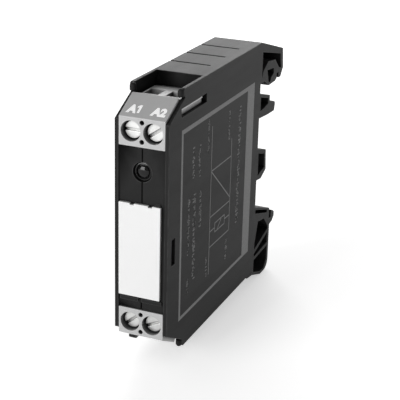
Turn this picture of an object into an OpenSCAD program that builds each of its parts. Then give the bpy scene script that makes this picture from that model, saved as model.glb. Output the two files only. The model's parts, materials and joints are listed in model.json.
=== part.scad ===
// Slim rail-mounted coupling relay: two-part housing, two grey terminal blocks with four screw
// clamps, a small board with an open coil relay, and a sprung rail foot.
//
// Origin: centre of the rail seat. The seat plane is y = 0, the rail centre line is z = 0 and the
// housing's middle plane is x = 0. The terminals face -Y, the rail is on the +Y side, +Z is up.
// Modules below work from the housing: y from its front face and z from its underside.

/* [Housing] */
// Width of the housing, across both side walls
body_w = 11.2; // [10:0.1:14]
// Height of the housing
body_h = 54; // [48:1:66]
// Depth of the housing, front face to rear face
body_d = 48.4; // [44:0.4:60]
// Thickness of the side walls
side_t = 0.8; // [0.6:0.05:1]
// Thickness of the top, bottom and rear walls
rim_t = 1.2; // [1:0.1:1.6]
// Thickness of the front panel
panel_t = 1.15; // [0.9:0.05:1.5]
// How far the front panel lies behind the edges of the side walls
panel_setback = 0.35; // [0.2:0.05:0.6]
// Height of the side walls above the floor of the wire trough
trough_h = 3; // [2.4:0.1:3.4]
// Depth of the wire trough, front face to the closed top
trough_d = 16.8; // [16.5:0.1:18]
// Rise of the slanted marking face, from the front edge to its top
slant_rise = 3.1; // [2:0.1:4]
// Run of the slanted marking face, front to back
slant_run = 5.8; // [4:0.1:6.2]
// Width of the vent slots in the top
vent_w = 0.55; // [0.4:0.05:0.8]
// Distance between the vent slots
vent_pitch = 7.9; // [6:0.1:9]
// Number of vent slots
vent_count = 3; // [1:1:3]

/* [Terminals] */
// Height of the front face of a terminal block
block_face_h = 5.6; // [5.2:0.1:7]
// Distance between the two screws of a block
screw_spacing = 4.6; // [4.5:0.1:5]
// Screw centre, from the inner edge of the block's front face
screw_inset = 2.9; // [2.7:0.1:3.4]
// Screw thread diameter
thread_d = 2.6; // [2:0.1:2.8]
// Screw thread pitch
thread_pitch = 0.45; // [0.35:0.05:0.5]
// Number of turns from clamped to open
screw_turns = 5; // [3:1:5]
// Screw head diameter
head_d = 3.4; // [3.2:0.1:3.6]
// Screw head thickness
head_t = 1.4; // [1.2:0.1:1.6]
// Diameter of the recess around the screw head
recess_d = 4; // [3.9:0.1:4.2]
// Depth of the screw head below the front face
head_depth = 1.2; // [0.8:0.1:1.5]
// Width of the screwdriver slot
slot_w = 0.6; // [0.5:0.05:0.8]
// Outer width of a clamp cage
cage_w = 3.9; // [3.6:0.1:4]
// Height of a clamp cage
cage_h = 4.6; // [4:0.1:5]
// Thickness of the threaded front wall of a clamp cage
cage_front_t = 1.1; // [0.9:0.1:1.3]
// Thickness of the other walls of a clamp cage
cage_wall_t = 0.6; // [0.5:0.05:0.7]
// Thickness of a terminal bar
bar_t = 0.7; // [0.6:0.05:0.9]
// Distance from the front face to a terminal bar
bar_depth = 8; // [7.9:0.1:8.5]
// Width of a wire funnel
funnel_w = 3; // [2.6:0.1:3.4]
// Height of the rim round the wire funnels
rim_h = 0.5; // [0.2:0.1:0.8]

/* [Front] */
// Width of the marking plate
plate_w = 8.7; // [8:0.1:8.8]
// How far the marking plate sits to the left of the middle
plate_shift = 0.3; // [0:0.05:0.3]
// Height of the marking plate
plate_h = 19.2; // [16:0.1:22]
// Thickness of the marking plate
plate_t = 0.75; // [0.6:0.05:1]
// Centre of the marking plate, from the underside of the housing
plate_z = 22.8; // [22:0.1:24]
// Diameter of the lamp window
window_d = 3.8; // [3.2:0.1:4.2]
// Gap between the marking plate and the lamp window
window_rise = 4.4; // [4:0.1:5]

/* [Rail foot] */
// Height of the rail that the housing clips to
rail_h = 35; // [35:35]
// Thickness of the rail's flange
rail_t = 1; // [1:0.1:1.5]
// Distance from the rear of the housing to the rail seat
seat_reach = 10.6; // [9.6:0.1:12]
// How far the fixed hook and the foot reach over the rail's flange
rail_overlap = 1.1; // [0.8:0.1:1.5]
// How far the rail foot slides down to release the rail
foot_travel = 2.2; // [1.6:0.1:2.4]
// Width of the rail foot
foot_w = 10.8; // [9.6:0.1:11]
// Wire diameter of the foot's spring
spring_wire_d = 0.45; // [0.35:0.05:0.6]
// Outer diameter of the foot's spring
spring_d = 3; // [2.6:0.1:3.4]

/* [Relay] */
// Thickness of the circuit board
board_t = 0.8; // [0.6:0.1:1]
// Diameter of the coil winding
winding_d = 5.8; // [5:0.1:6]
// Length of the coil winding
winding_l = 14; // [12:0.5:15]
// Diameter of the coil core
core_d = 2.5; // [2:0.1:2.8]
// Thickness of the coil core's pole face
pole_t = 0.9; // [0.7:0.1:1.1]
// Wall of the coil bobbin's tube
tube_t = 0.5; // [0.4:0.05:0.6]
// Thickness of the yoke
yoke_t = 1.3; // [1:0.1:1.5]
// Air gap between the core's pole face and the armature
pole_gap = 0.7; // [0.6:0.05:0.9]
// Diameter of a contact button
button_d = 1.8; // [1.4:0.1:2]

/* [Hidden] */
$fn = 48;

// Clearances
fit = 0.05;              // round fits and pieces that drop into each other
slide_gap = 0.1;         // pieces that slide past each other
clear_gap = 0.3;         // pieces that only pass near each other
eps = 1;                 // overshoot of a cut past the surface that it opens

// Housing
half_w = body_w / 2;
inner_w = body_w - 2 * side_t;
mid_z = body_h / 2;
seat_y = body_d + seat_reach;
panel_back = panel_setback + panel_t;
floor_z = body_h - trough_h;
slant_z = body_h - 1.7;
block_bend_z = slant_z - slant_rise;
bend_z = block_bend_z - 0.6;
front_low_z = 5.8;
ear_y = slant_run + 0.5;
ear_r = 0.7;

// Bosses of the joint pins between the halves, at [y, z]
boss_r = 1.5;
pin_r = 0.7;
pin_l = 3;
boss_at = [[trough_d + 3.4, body_h - 4], [body_d - 4, body_h - 4], [trough_d + 3.4, 4.2]];

// Front panel
plate_seat_y = panel_setback + 0.15;
window_z = plate_z + plate_h / 2 + window_rise + window_d / 2;
clip_z = [plate_z - 5, plate_z + 5];
clip_x = 2.2;
clip_w = 0.8;
clip_h = 2.4;
lead_r = 0.22;
lead_y = 7.3;

// Terminal blocks, given for the upper one; the lower one is its mirror image about mid_z
block_w = inner_w - 2 * fit;
block_low_z = block_bend_z - block_face_h;
block_d = trough_d - fit;
bay_z = block_low_z - fit;
bay_floor_t = 1.2;
screw_z = block_low_z + screw_inset;
shoulder_y = head_depth + head_t + fit;
shoulder_t = 0.75;
pocket_y = shoulder_y + shoulder_t;
pocket_w = cage_w + 2 * slide_gap;
pocket_rear_y = 13.6;
pocket_top_z = screw_z + cage_h / 2 + slide_gap;
cage_y = pocket_y + 0.2;
cage_gap = 0.3;
cage_travel = thread_pitch * screw_turns;
cage_rear_y = bar_depth + bar_t + cage_gap;
tail_z = [bay_z - bay_floor_t - 1.6, bay_z - bay_floor_t - 3.4];
tail_h = 1.2;
bar_w = 2.8;
slot_y = ear_y - 0.9;
slot_l = 12.1;
slot_z = [bend_z + 0.1, bend_z + 1.8];
slot_rail_h = 0.4;
funnel_y = [slant_run + 2.8, slant_run + 6.3];
rim_y = [slant_run + 1.4, slant_run + 8.6];
rim_x = screw_spacing / 2 + funnel_w / 2 + 0.4;

// Board and relay
board_gap = 0.3;
board_x = -half_w + side_t + board_gap;
board_y = [4, body_d - rim_t - 3.8];
board_z = [bay_floor_t + body_h - bay_z + 0.4, bay_z - bay_floor_t - 0.4];
deck_x = board_x + board_t;
peg_r = 0.6;
peg_at = [for (y = [board_y[0] + 2, board_y[1] - 1.4], z = [board_z[0] + 1.5, board_z[1] - 1.5]) [y, z]];
part_y = board_y[0] + 5.8;
base_t = 1;
coil_x = deck_x + base_t + winding_d / 2 + 0.35;
coil_y = body_d - 13.8;
flange_t = 0.9;
flange_w = winding_d + 0.7;
yoke_low_z = board_z[0] + 2.2;
flange_low_z = yoke_low_z + yoke_t;
winding_z = flange_low_z + flange_t;
pin_wire_r = 0.3;
coil_pin_at = [for (dy = [-2.4, 2.4]) [coil_y + dy, flange_low_z + flange_t / 2]];
pole_z = winding_z + winding_l + flange_t + 1.1;
armature_z = pole_z + pole_gap;
armature_t = 1;
pivot_y = coil_y + flange_w / 2 + 1.6;
leaf_t = 0.25;
contact_y = coil_y - 10.6;
button_t = 0.4;
strip_t = 0.4;
make_z = armature_z - 0.9;
back_z = armature_z + armature_t + leaf_t + button_t + fit;

// Rail grip
rail_top = mid_z + rail_h / 2;
rail_low = mid_z - rail_h / 2;
rail_slot = rail_t + 0.3;
web_t = 1.2;

// Rail foot: its neck passes through the rear wall, and its tee slides behind the wall
foot_gap = 0.3;
foot_front = body_d + foot_gap;
foot_low_z = -3.2;
corner_r = 2.4;
neck_w = 2.8;
neck_z = [5.8, 12.4];
tee_w = 6.4;
tee_t = 2.6;
tee_y = body_d - rim_t - slide_gap;
spring_turns = 5;
spring_z = [rim_t, neck_z[0]];
spring_y = tee_y - spring_d / 2;

// Turns an outline drawn in y and z into a plate between two x positions
module plate(x0, x1) {
    translate([x0, 0, 0]) rotate([90, 0, 90]) linear_extrude(x1 - x0) children();
}

module box(low, high) {
    translate(low) cube(high - low);
}

module rod_x(x0, x1, y, z, r) {
    translate([x0, y, z]) rotate([0, 90, 0]) cylinder(h = x1 - x0, r = r);
}

module rod_y(x, y0, y1, z, r) {
    translate([x, y0, z]) rotate([-90, 0, 0]) cylinder(h = y1 - y0, r = r);
}

module rod_z(x, y, z0, z1, r) {
    translate([x, y, z0]) cylinder(h = z1 - z0, r = r);
}

// Moves a piece from housing positions to the rail seat origin
module place() {
    translate([0, -seat_y, -mid_z]) children();
}

// The same piece at the lower end of the housing
module lower_end() {
    translate([0, 0, body_h]) mirror([0, 0, 1]) children();
}

// A round end of an outline
module disc(y, z, r) {
    translate([y, z]) circle(r);
}

// ---- Housing ----

module wall_outline() {
    polygon([[0, front_low_z], [0, bend_z], [ear_y + 0.6, slant_z - 0.2], [ear_y, body_h - ear_r],
        [ear_y + ear_r, body_h], [body_d, body_h], [body_d, 0], [ear_y + 2, 0],
        [ear_y + 1.6, 0.4], [ear_y + 1.6, 1.5]]);
    disc(ear_y + ear_r, body_h - ear_r, ear_r);
}

module cavity_outline() {
    polygon([[panel_back, body_h - bay_z + bay_floor_t], [panel_back, bay_z - bay_floor_t],
        [trough_d + rim_t, bay_z - bay_floor_t], [trough_d + rim_t, body_h - rim_t],
        [body_d - rim_t, body_h - rim_t], [body_d - rim_t, rim_t],
        [trough_d + rim_t, rim_t], [trough_d + rim_t, body_h - bay_z + bay_floor_t]]);
}

// Upper hook, with the loop that presses on the front of the rail's flange
module hook_outline() {
    polygon([[body_d - rim_t / 2, body_h], [body_d, body_h], [seat_y + 3.6, body_h - 4.1],
        [seat_y + 4.3, body_h - 8.7], [seat_y + 2.6, rail_top - rail_overlap],
        [seat_y + rail_slot, rail_top - rail_overlap + 0.1], [seat_y + rail_slot, rail_top + 0.3],
        [seat_y, rail_top + 0.3], [seat_y, rail_top - 0.9], [seat_y - 1.2, rail_top - 1.3],
        [body_d + 5.4, rail_top - 1.3], [body_d + 3, rail_top + 0.2],
        [body_d - rim_t / 2, rail_top + 0.2]]);
}

module hook_pockets() {
    // space above the loop
    polygon([[body_d + 0.8, body_h - 2.3], [seat_y + 2.1, body_h - 5.1], [seat_y + 2.9, body_h - 8.5],
        [seat_y + 1.6, body_h - 8.2], [seat_y - 1.4, body_h - 5.7], [body_d + 4.6, body_h - 5.1],
        [body_d + 1.6, body_h - 6.6], [body_d + 0.8, body_h - 8.2]]);
    // inside the loop
    translate([body_d + 5.9, rail_top + 0.2]) circle(0.9);
    polygon([[body_d + 5, rail_top + 0.2], [body_d + 4.2, rail_top + 2.4], [body_d + 8.4, rail_top + 2],
        [body_d + 8.6, rail_top + 0.9], [body_d + 6.8, rail_top + 0.2]]);
}

// Middle stop, against the channel of the rail
module stop_outline() {
    polygon([[body_d - rim_t / 2, mid_z + 15.6], [body_d + 0.2, mid_z + 15.5],
        [body_d + 6.6, mid_z + 13.7], [body_d + 6.7, mid_z + 12.3],
        [body_d + 8.1, mid_z + 12], [seat_y - 0.6, mid_z + 11.4],
        [seat_y - 0.2, mid_z + 10.9], [seat_y - 0.7, mid_z + 9.2], [body_d + 5.5, mid_z + 9.4],
        [body_d, mid_z + 9.9], [body_d - rim_t / 2, mid_z + 9.9]]);
}

module stop_pocket() {
    polygon([[body_d + 0.7, mid_z + 14.6], [body_d + 5.7, mid_z + 13.2], [body_d + 5.7, mid_z + 12],
        [body_d + 3, mid_z + 11.6], [body_d + 0.7, mid_z + 11.4]]);
}

// Lower stop
module heel_outline() {
    polygon([[body_d - rim_t / 2, mid_z + 2.9], [body_d + 0.5, mid_z + 2.7], [body_d + 5.5, mid_z + 1.2],
        [body_d + 6, mid_z - 3.7], [body_d + 2.8, mid_z - 5], [body_d - rim_t / 2, mid_z - 4.6]]);
}

module heel_pocket() {
    polygon([[body_d + 0.7, mid_z + 1.6], [body_d + 4.6, mid_z + 0.4], [body_d + 4.9, mid_z - 2.9],
        [body_d + 0.7, mid_z - 3.7]]);
}

// What both halves share, drawn for the right half: x runs from the middle plane outwards
module half_solid() {
    plate(0, half_w) wall_outline();
    difference() {
        plate(0, half_w) {
            hook_outline();
            stop_outline();
            heel_outline();
        }
        plate(web_t / 2, half_w + eps) {
            hook_pockets();
            stop_pocket();
            heel_pocket();
        }
    }
}

// side is 1 for the right half and -1 for the left one
module half_cuts(side) {
    inner = inner_w / 2;
    plate(-eps, inner) cavity_outline();
    // set-back front panel, with its middle groove, plate seat, lamp window and clip slots
    box([-eps, -eps, body_h - bay_z], [inner, panel_setback, bay_z]);
    box([-eps, -eps, body_h - bay_z], [0.15, panel_setback + 0.3, bay_z]);
    box([-eps, -eps, plate_z - plate_h / 2 - slide_gap],
        [plate_w / 2 - side * plate_shift + slide_gap, plate_seat_y, plate_z + plate_h / 2 + slide_gap]);
    rod_y(0, -eps, panel_back + eps, window_z, window_d / 2 + fit);
    for (z = clip_z) {
        box([clip_x - fit, -eps, z - clip_h / 2 - fit],
            [clip_x + clip_w + fit, panel_back + eps, z + clip_h / 2 + fit]);
    }
    // bays of the terminal blocks, open to the front and to the wires; the upper one shows its rails
    terminal_bay();
    box([half_w - side_t - eps, slot_y, slot_z[0]], [half_w + eps, slot_y + slot_l, slot_z[1]]);
    lower_end() terminal_bay();
    // grip slot in the side wall, near the front
    box([half_w - side_t - eps, 1.8, mid_z - 7], [half_w + eps, 3.5, mid_z - 1.6]);
    // way for the neck of the rail foot
    box([-eps, body_d - rim_t - eps, neck_z[0] - foot_travel - clear_gap],
        [neck_w / 2 + slide_gap, body_d + eps, neck_z[1] + clear_gap]);
}

module terminal_bay() {
    box([-eps, -eps, bay_z], [inner_w / 2, trough_d, body_h + eps]);
    // ways for the tails of the terminal bars
    box([screw_spacing / 2 - bar_w / 2 - slide_gap, bar_depth - slide_gap, bay_z - bay_floor_t - eps],
        [screw_spacing / 2 + bar_w / 2 + slide_gap, bar_depth + bar_t + slide_gap, bay_z + eps]);
}

module right_shell() {
    color("#3a3b3d") place() {
        difference() {
            half_solid();
            half_cuts(1);
            vents(0, 3.2);
        }
        for (p = boss_at) {
            rod_x(0, inner_w / 2, p[0], p[1], boss_r);
            rod_x(-pin_l, 0, p[0], p[1], pin_r);
        }
    }
}

module left_shell() {
    color("#3a3b3d") place() {
        difference() {
            mirror([1, 0, 0]) half_solid();
            mirror([1, 0, 0]) half_cuts(-1);
            vents(-half_w - eps, 0);
        }
        for (p = boss_at) {
            difference() {
                rod_x(-inner_w / 2, 0, p[0], p[1], boss_r);
                rod_x(-pin_l - 2 * fit, eps, p[0], p[1], pin_r + fit);
            }
        }
        // posts that hold the board, each with a locating peg
        for (p = peg_at) {
            rod_x(-inner_w / 2, board_x, p[0], p[1], 1.3);
            rod_x(board_x, deck_x + 0.2, p[0], p[1], peg_r);
        }
    }
}

module vents(x0, x1) {
    for (i = [1 : vent_count]) {
        y = trough_d + i * vent_pitch;
        box([x0, y - vent_w / 2, body_h - rim_t - eps], [x1, y + vent_w / 2, body_h + eps]);
    }
}

// ---- Terminal blocks ----

module block_outline() {
    polygon([[0, block_low_z], [0, block_bend_z], [slant_run, slant_z], [slant_run + 0.7, floor_z],
        [block_d, floor_z], [block_d, block_low_z]]);
}

module funnel_outline() {
    low = pocket_top_z - fit;
    top = floor_z + rim_h;
    polygon([[funnel_y[0], top + eps], [funnel_y[0], top], [bar_depth + bar_t, low],
        [cage_rear_y + cage_travel, low], [funnel_y[1], top], [funnel_y[1], top + eps]]);
}

module terminal_block() {
    difference() {
        union() {
            plate(-block_w / 2, block_w / 2) block_outline();
            box([-rim_x, rim_y[0], floor_z - eps], [rim_x, rim_y[1], floor_z + rim_h]);
        }
        for (s = [-1, 1]) {
            x = s * screw_spacing / 2;
            rod_y(x, -eps, shoulder_y, screw_z, recess_d / 2);
            rod_y(x, 0, pocket_y + eps, screw_z, thread_d / 2 + slide_gap);
            box([x - pocket_w / 2, pocket_y, block_low_z - eps],
                [x + pocket_w / 2, pocket_rear_y, pocket_top_z]);
            plate(x - funnel_w / 2, x + funnel_w / 2) funnel_outline();
        }
        // test holes between the screws
        for (dz = [-1.85, 1.85]) {
            rod_y(0, -eps, 2.4, screw_z + dz, 0.45);
        }
    }
}

module upper_terminal_block() {
    color("#a9aaab") place() {
        terminal_block();
        // side rails that show through the housing
        for (s = [-1, 1]) {
            x = [s * (block_w / 2 - 0.2), s * (half_w - 0.1)];
            box([min(x), slot_y + fit, slot_z[1] - slot_rail_h],
                [max(x), slot_y + slot_l - 2.1, slot_z[1] - fit]);
        }
    }
}

module lower_terminal_block() {
    color("#a9aaab") place() lower_end() terminal_block();
}

// ---- Screw clamps: a screw that stays put, and a cage that it pulls along ----

module clamp_screw(s, turn) {
    x = s * screw_spacing / 2;
    translate([x, 0, screw_z]) rotate([0, turn, 0]) difference() {
        union() {
            rod_y(0, head_depth, head_depth + head_t, 0, head_d / 2);
            rod_y(0, head_depth + head_t / 2, bar_depth - slide_gap, 0, thread_d / 2);
        }
        box([-head_d, head_depth - eps, -slot_w / 2], [head_d, head_depth + 0.6, slot_w / 2]);
    }
}

module clamp_cage(s) {
    x = s * screw_spacing / 2;
    difference() {
        box([x - cage_w / 2, cage_y, screw_z - cage_h / 2],
            [x + cage_w / 2, cage_rear_y + cage_wall_t, screw_z + cage_h / 2]);
        box([x - bar_w / 2 - slide_gap, cage_y + cage_front_t, screw_z - cage_h],
            [x + bar_w / 2 + slide_gap, cage_rear_y, screw_z + cage_h]);
        rod_y(x, 0, cage_y + cage_front_t + fit, screw_z, thread_d / 2 + fit);
    }
}

// The bar runs through the cage and down to the board; row 0 or 1 sets the height of its tail
module terminal_bar(s, row) {
    x = s * screw_spacing / 2;
    box([x - bar_w / 2, bar_depth, tail_z[row]], [x + bar_w / 2, bar_depth + bar_t, screw_z + cage_h / 2]);
    box([deck_x, bar_depth, tail_z[row]], [x + bar_w / 2, bar_depth + bar_t, tail_z[row] + tail_h]);
}

module a1_screw() { color("#d8d8d6") place() clamp_screw(-1, 0); }
module a2_screw() { color("#d8d8d6") place() clamp_screw(1, -35); }
module b1_screw() { color("#d8d8d6") place() lower_end() clamp_screw(-1, 40); }
module b2_screw() { color("#d8d8d6") place() lower_end() clamp_screw(1, 25); }
module a1_cage() { color("#b9b4a6") place() clamp_cage(-1); }
module a2_cage() { color("#b9b4a6") place() clamp_cage(1); }
module b1_cage() { color("#b9b4a6") place() lower_end() clamp_cage(-1); }
module b2_cage() { color("#b9b4a6") place() lower_end() clamp_cage(1); }
module a1_bar() { color("#c9a46a") place() terminal_bar(-1, 0); }
module a2_bar() { color("#c9a46a") place() terminal_bar(1, 1); }
module b1_bar() { color("#c9a46a") place() lower_end() terminal_bar(-1, 0); }
module b2_bar() { color("#c9a46a") place() lower_end() terminal_bar(1, 1); }

// ---- Front ----

module marking_plate() {
    color("#f4f4f2") place() difference() {
        union() {
            box([-plate_w / 2 - plate_shift, plate_seat_y - plate_t, plate_z - plate_h / 2],
                [plate_w / 2 - plate_shift, plate_seat_y, plate_z + plate_h / 2]);
            for (s = [-1, 1], z = clip_z) {
                box([min(s * clip_x, s * (clip_x + clip_w)), plate_seat_y - fit, z - clip_h / 2],
                    [max(s * clip_x, s * (clip_x + clip_w)), panel_back + 0.9, z + clip_h / 2]);
            }
        }
        // two finger notches in the top edge
        for (x = [-1.9, 1.9]) {
            box([x - 0.4, -eps, plate_z + plate_h / 2 - 0.3],
                [x + 0.4, plate_seat_y + eps, plate_z + plate_h / 2 + eps]);
        }
    }
}

module lamp_window() {
    color("#202123") place() translate([0, 0.5, window_z]) rotate([-90, 0, 0]) rotate_extrude() {
        difference() {
            translate([0, 1.9]) circle(1.9);
            translate([-3, -eps]) square([3, 6]);
            translate([0, 1]) square([3, 6]);
            translate([1.6, -1]) square([2, 6]);
        }
        translate([0, 0.7]) square([window_d / 2, 0.5]);
    }
}

module lamp() {
    color("#9c2a22") place() {
        translate([0, 2, window_z]) rotate([-90, 0, 0]) rotate_extrude() {
            difference() {
                union() {
                    translate([0, 1.5]) circle(1.5);
                    translate([0, 1.5]) square([1.5, 3]);
                    translate([0, 3.9]) square([1.75, 0.6]);
                }
                translate([-3, -1]) square([3, 8]);
            }
        }
        for (dz = [-0.9, 0.9]) {
            rod_y(0, 6.4, lead_y, window_z + dz, lead_r);
            rod_x(deck_x, lead_r, lead_y, window_z + dz, lead_r);
        }
    }
}

// ---- Board ----

module circuit_board() {
    color("#2f6b45") place() difference() {
        box([board_x, board_y[0], board_z[0]], [deck_x, board_y[1], board_z[1]]);
        for (p = peg_at) {
            rod_x(board_x - eps, deck_x + eps, p[0], p[1], peg_r + fit);
        }
        for (p = coil_pin_at) {
            rod_x(board_x - eps, deck_x + eps, p[0], p[1], pin_wire_r + fit);
        }
    }
}

module rectifier() {
    color("#26282b") place() {
        box([deck_x, part_y + 4.6, mid_z + 5.4], [deck_x + 2.2, part_y + 9, mid_z + 11.8]);
        for (i = [0 : 3]) {
            z = mid_z + 6 + i * 1.5;
            box([deck_x, part_y + 3.9, z], [deck_x + 0.5, part_y + 4.6, z + 0.7]);
        }
    }
}

module capacitor() {
    color("#2b3f6e") place() difference() {
        rod_x(deck_x, deck_x + 6.6, part_y + 1.6, mid_z - 7.2, 2.5);
        translate([deck_x + 1.2, part_y + 1.6, mid_z - 7.2]) rotate([0, 90, 0]) rotate_extrude() {
            translate([2.55, 0]) circle(0.25);
        }
    }
}

module resistors() {
    color("#c9b28a") place() {
        for (i = [0, 1]) {
            y = part_y + 0.4 + i * 3.4;
            rod_z(deck_x + 1.25, y, mid_z - 3.2, mid_z + 3.2, 1.05);
            rod_z(deck_x + 1.25, y, mid_z - 4.4, mid_z + 4.4, 0.28);
            for (z = [-4.4, 4.4]) {
                rod_x(deck_x, deck_x + 1.25 + 0.28, y, mid_z + z, 0.28);
            }
        }
    }
}

module varistor() {
    color("#2c5aa0") place() {
        rod_x(deck_x + 0.6, deck_x + 2.6, part_y + 7, mid_z - 7.6, 2.7);
        for (dz = [-1.2, 1.2]) {
            rod_x(deck_x, deck_x + 0.7, part_y + 7, mid_z - 7.6 + dz, 0.28);
        }
    }
}

// ---- Relay ----

module relay_base() {
    color("#1f2022") place() difference() {
        box([deck_x, contact_y - 3.6, board_z[0] + 1], [deck_x + base_t, pivot_y + 2.4, board_z[1] - 0.8]);
        for (p = coil_pin_at) {
            rod_x(deck_x - eps, deck_x + base_t + eps, p[0], p[1], pin_wire_r + fit);
        }
        for (p = peg_at) {
            rod_x(deck_x - eps, deck_x + base_t + eps, p[0], p[1], peg_r + clear_gap);
        }
    }
}

module coil_bobbin() {
    color("#e8e4d8") place() difference() {
        union() {
            for (z = [flange_low_z, winding_z + winding_l]) {
                box([coil_x - flange_w / 2, coil_y - flange_w / 2, z],
                    [coil_x + flange_w / 2, coil_y + flange_w / 2, z + flange_t]);
            }
            rod_z(coil_x, coil_y, flange_low_z, winding_z + winding_l + flange_t, core_d / 2 + tube_t);
        }
        rod_z(coil_x, coil_y, flange_low_z - eps, winding_z + winding_l + flange_t + eps,
            core_d / 2 + fit);
    }
}

module coil_winding() {
    color("#b5642c") place() difference() {
        rod_z(coil_x, coil_y, winding_z, winding_z + winding_l, winding_d / 2);
        rod_z(coil_x, coil_y, winding_z - eps, winding_z + winding_l + eps, core_d / 2 + tube_t);
    }
}

module coil_core() {
    color("#b8bbbe") place() {
        rod_z(coil_x, coil_y, yoke_low_z, pole_z, core_d / 2);
        rod_z(coil_x, coil_y, pole_z - pole_t, pole_z, core_d);
    }
}

module yoke() {
    color("#a3a6aa") place() difference() {
        union() {
            box([coil_x - 3, coil_y - 3.4, yoke_low_z],
                [coil_x + 3, pivot_y + yoke_t / 2, yoke_low_z + yoke_t]);
            box([coil_x - 3, pivot_y - yoke_t / 2, yoke_low_z],
                [coil_x + 3, pivot_y + yoke_t / 2, armature_z - fit]);
        }
        rod_z(coil_x, coil_y, yoke_low_z - eps, yoke_low_z + yoke_t + eps, core_d / 2);
    }
}

module coil_pins() {
    color("#cfcabb") place() for (p = coil_pin_at) {
        rod_x(board_x - 0.2, coil_x - flange_w / 2, p[0], p[1], pin_wire_r);
    }
}

module armature() {
    color("#b0b3b7") place() box([coil_x - 2.9, coil_y - 3.6, armature_z],
        [coil_x + 2.9, pivot_y + yoke_t / 2, armature_z + armature_t]);
}

module contact_spring() {
    color("#c8803c") place() box([coil_x - 1.3, contact_y - 1.2, armature_z + armature_t],
        [coil_x + 1.3, pivot_y, armature_z + armature_t + leaf_t]);
}

module moving_contact() {
    z = armature_z + armature_t;
    color("#dedbd2") place() {
        rod_z(coil_x, contact_y, z - button_t - 0.1, z, button_d / 2);
        rod_z(coil_x, contact_y, z + leaf_t, z + leaf_t + button_t, button_d / 2);
    }
}

module armature_spring() {
    top = armature_z + armature_t + leaf_t;
    rear = pivot_y + yoke_t / 2 + 0.2;
    color("#c8803c") place() {
        box([coil_x - 1.6, pivot_y - 2.6, top], [coil_x + 1.6, rear + 0.2, top + 0.2]);
        box([coil_x - 1.6, rear, top - 5], [coil_x + 1.6, rear + 0.2, top + 0.2]);
    }
}

// A contact strip stands on the relay base and reaches under or over the moving contact
module make_contact() {
    base_x = deck_x + base_t;
    color("#c9a46a") place() {
        box([base_x, contact_y - 1.2, yoke_low_z + 2],
            [base_x + strip_t, contact_y + 1.2, make_z - button_t]);
        box([base_x, contact_y - 1.2, make_z - button_t - strip_t],
            [coil_x + 1.2, contact_y + 1.2, make_z - button_t]);
        rod_z(coil_x, contact_y, make_z - button_t, make_z, button_d / 2);
    }
}

module back_contact() {
    base_x = deck_x + base_t;
    color("#c9a46a") place() {
        box([base_x, contact_y - 1.2, back_z + button_t],
            [base_x + strip_t, contact_y + 1.2, back_z + 4]);
        box([base_x, contact_y - 1.2, back_z + button_t],
            [coil_x + 1.2, contact_y + 1.2, back_z + button_t + strip_t]);
        rod_z(coil_x, contact_y, back_z, back_z + button_t, button_d / 2);
    }
}

// ---- Rail foot ----

module foot_outline() {
    polygon([[foot_front, rail_low + 6.3], [seat_y, rail_low + 2.6], [seat_y, rail_low - 0.2],
        [seat_y + rail_slot, rail_low - 0.2], [seat_y + rail_slot, rail_low + rail_overlap + 0.5],
        [seat_y + 2.6, rail_low + rail_overlap], [seat_y + 3.5, rail_low + 0.5],
        [seat_y + 3.5, rail_low - 0.6], [seat_y + 2.2, rail_low - 1.5],
        [seat_y + 0.5, rail_low - 1.8], [seat_y + 0.5, foot_low_z + corner_r],
        [seat_y + 0.5 - corner_r, foot_low_z], [body_d + 6, foot_low_z], [foot_front, -1.2],
        [body_d - 2.8, -0.3 - 0.5], [body_d - 2.8, -0.3], [foot_front, -0.3]]);
    disc(seat_y + 0.5 - corner_r, foot_low_z + corner_r, corner_r);
}

// Open pockets between the foot's ribs
module foot_pockets() {
    polygon([[foot_front + 0.6, rail_low + 5.4], [seat_y - 1.6, rail_low + 2.7],
        [seat_y - 1.6, rail_low + 2], [foot_front + 0.6, rail_low + 4.5]]);
    front = foot_front + 0.8;
    rear = seat_y - 0.6;
    polygon([[front + 1.8, rail_low + 1.8], [rear - 2.8, rail_low + 1.1], [rear - 0.2, rail_low - 1.6],
        [rear, rail_low - 2.4], [front, rail_low - 4.6], [front, rail_low - 3]]);
    polygon([[front, rail_low - 5.6], [rear, rail_low - 3.3], [rear, rail_low - 5.9],
        [front, rail_low - 6.4]]);
    polygon([[front, rail_low - 7.2], [rear, rail_low - 6.8], [rear, rail_low - 10.4],
        [rear - 1.6, foot_low_z + 0.7], [body_d + 6, foot_low_z + 0.7], [front, rail_low - 10.2]]);
}

module rail_foot() {
    color("#343537") place() {
        difference() {
            plate(-foot_w / 2, foot_w / 2) foot_outline();
            for (s = [0, 1]) {
                mirror([s, 0, 0]) plate(web_t / 2, half_w + eps) foot_pockets();
            }
        }
        // neck through the rear wall, and the tee that slides behind it
        box([-neck_w / 2, tee_y - 0.5, neck_z[0]], [neck_w / 2, foot_front + 0.9, neck_z[1]]);
        box([-tee_w / 2, tee_y - tee_t, neck_z[0]], [tee_w / 2, tee_y, neck_z[1]]);
    }
}

module foot_spring() {
    r = (spring_d - spring_wire_d) / 2;
    rise = (spring_z[1] - spring_z[0] - spring_wire_d) / (spring_turns - 1);
    color("#c4c6c8") place() for (i = [0 : spring_turns - 1]) {
        translate([0, spring_y, spring_z[0] + spring_wire_d / 2 + i * rise])
            rotate_extrude() translate([r, 0]) circle(spring_wire_d / 2);
    }
}

left_shell();
right_shell();
upper_terminal_block();
lower_terminal_block();
a1_screw();
a2_screw();
b1_screw();
b2_screw();
a1_cage();
a2_cage();
b1_cage();
b2_cage();
a1_bar();
a2_bar();
b1_bar();
b2_bar();
marking_plate();
lamp_window();
lamp();
circuit_board();
rectifier();
capacitor();
resistors();
varistor();
relay_base();
coil_bobbin();
coil_winding();
coil_core();
yoke();
coil_pins();
armature();
contact_spring();
moving_contact();
armature_spring();
make_contact();
back_contact();
rail_foot();
foot_spring();
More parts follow.
